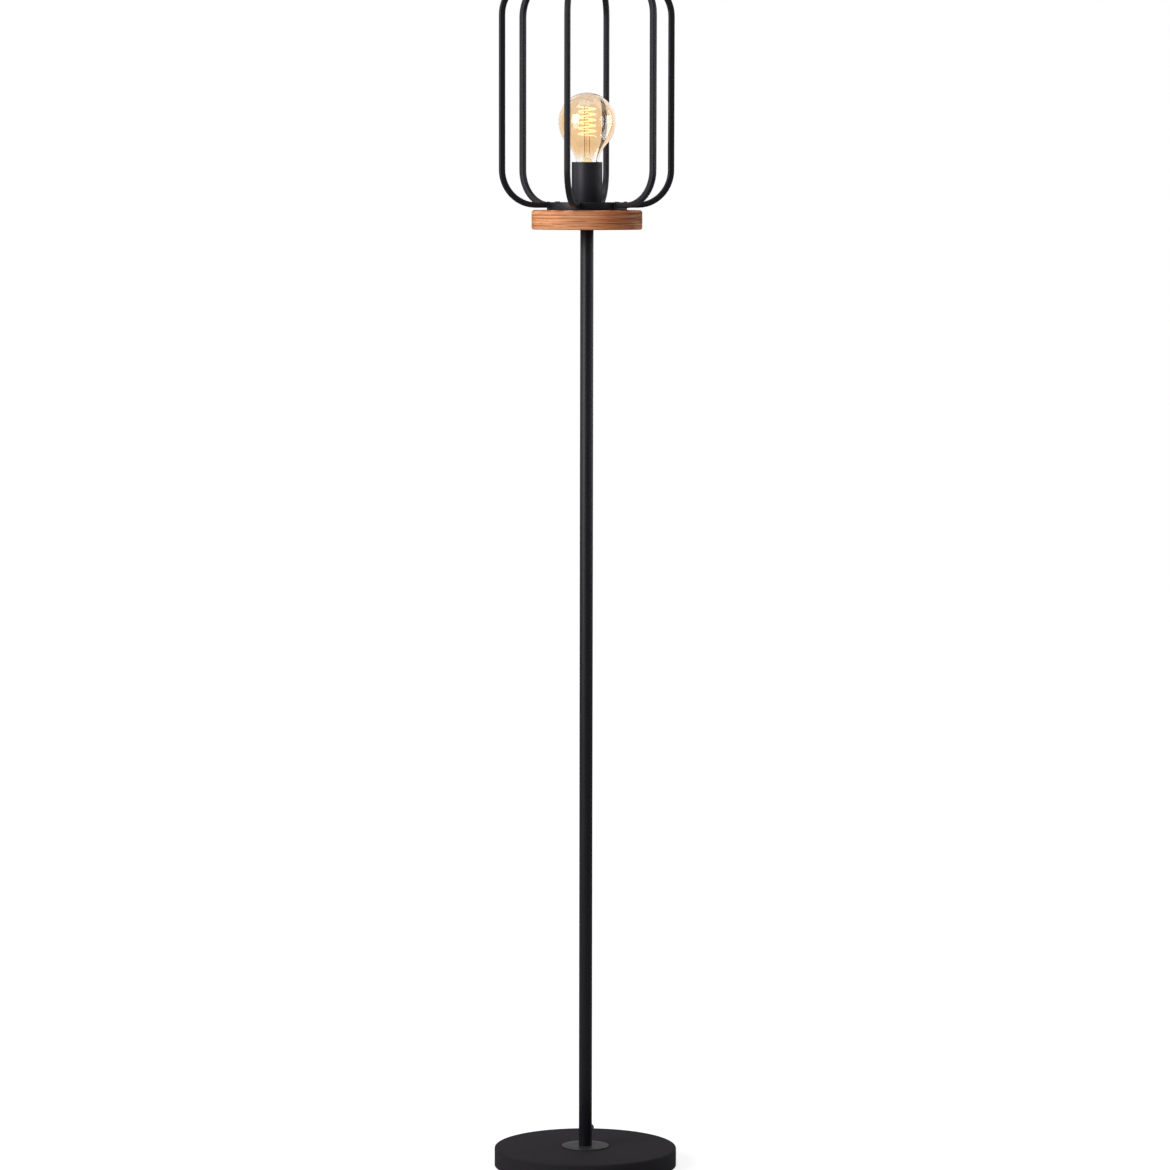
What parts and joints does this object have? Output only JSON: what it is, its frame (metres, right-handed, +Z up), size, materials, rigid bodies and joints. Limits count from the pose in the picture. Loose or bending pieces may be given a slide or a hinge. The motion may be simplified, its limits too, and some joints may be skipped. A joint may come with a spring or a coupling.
{
  "type": "floor lamp",
  "caption": "Slim floor lamp: round weighted foot, pole, wooden disc and a round-cornered cage of square bars about a bare screw-in bulb.",
  "frame": {"origin": "on the floor under the pole's axis, at the bottom centre of the lamp", "axes": "+Z up along the pole; the picture looks along +Y with +X to the right"},
  "size_m": [0.2, 0.2, 1.2998],
  "materials": {
    "textured_black": "fine textured matte powder coat",
    "satin_black": "satin black powder coat",
    "cast_iron": "rough as cast",
    "fibre_black": "matte fibre board",
    "pad_rubber": "matte",
    "zinc_steel": "bright zinc plate",
    "black_nylon": "moulded, matte",
    "lead_sheath": "smooth sheath",
    "stained_wood": "oiled, open grain",
    "holder_plastic": "moulded thermoset",
    "contact_brass": "plain brass",
    "cap_metal": "rolled, bright",
    "cap_glass": "fused black glass",
    "solder": "soft solder",
    "amber_glass": "thin blown, amber tinted",
    "clear_glass": "clear",
    "support_wire": "drawn wire",
    "glowing_filament": "lit spiral filament, silicone coated"
  },
  "bodies": {
    "root": {"base_cover": "textured_black", "base_weight": "cast_iron", "underplate": "fibre_black", "foot_pads": "pad_rubber", "foot_washer": "zinc_steel", "foot_lock_washer": "zinc_steel", "foot_nut": "zinc_steel", "foot_nipple": "zinc_steel", "pole_flange": "satin_black", "pole": "satin_black", "foot_bush": "zinc_steel", "head_bush": "zinc_steel", "cable_gland": "black_nylon", "inner_lead": "lead_sheath", "wood_disc": "stained_wood", "head_nipple": "zinc_steel", "cage_pan": "satin_black", "socket_sleeve": "satin_black", "head_lock_washer": "zinc_steel", "head_nut": "zinc_steel", "socket_base": "holder_plastic", "socket_body": "holder_plastic", "screw_shell": "contact_brass", "centre_contact": "contact_brass", "terminal_screws": "zinc_steel", "cage_bar_1": "satin_black", "cage_bar_2": "satin_black", "cage_bar_3": "satin_black", "cage_bar_4": "satin_black", "cage_bar_5": "satin_black", "cage_bar_6": "satin_black"},
    "bulb": {"bulb_cap": "cap_metal", "bulb_insulator": "cap_glass", "bulb_tip": "solder", "bulb_glass": "amber_glass", "bulb_stem": "clear_glass", "bulb_wires": "support_wire", "bulb_filament": "glowing_filament"}
  },
  "joints": [
    {"name": "bulb_lift", "type": "slide", "parent": "root", "child": "bulb", "axis": [0, 0, 1], "range_m": [0, 0.03]}
  ]
}
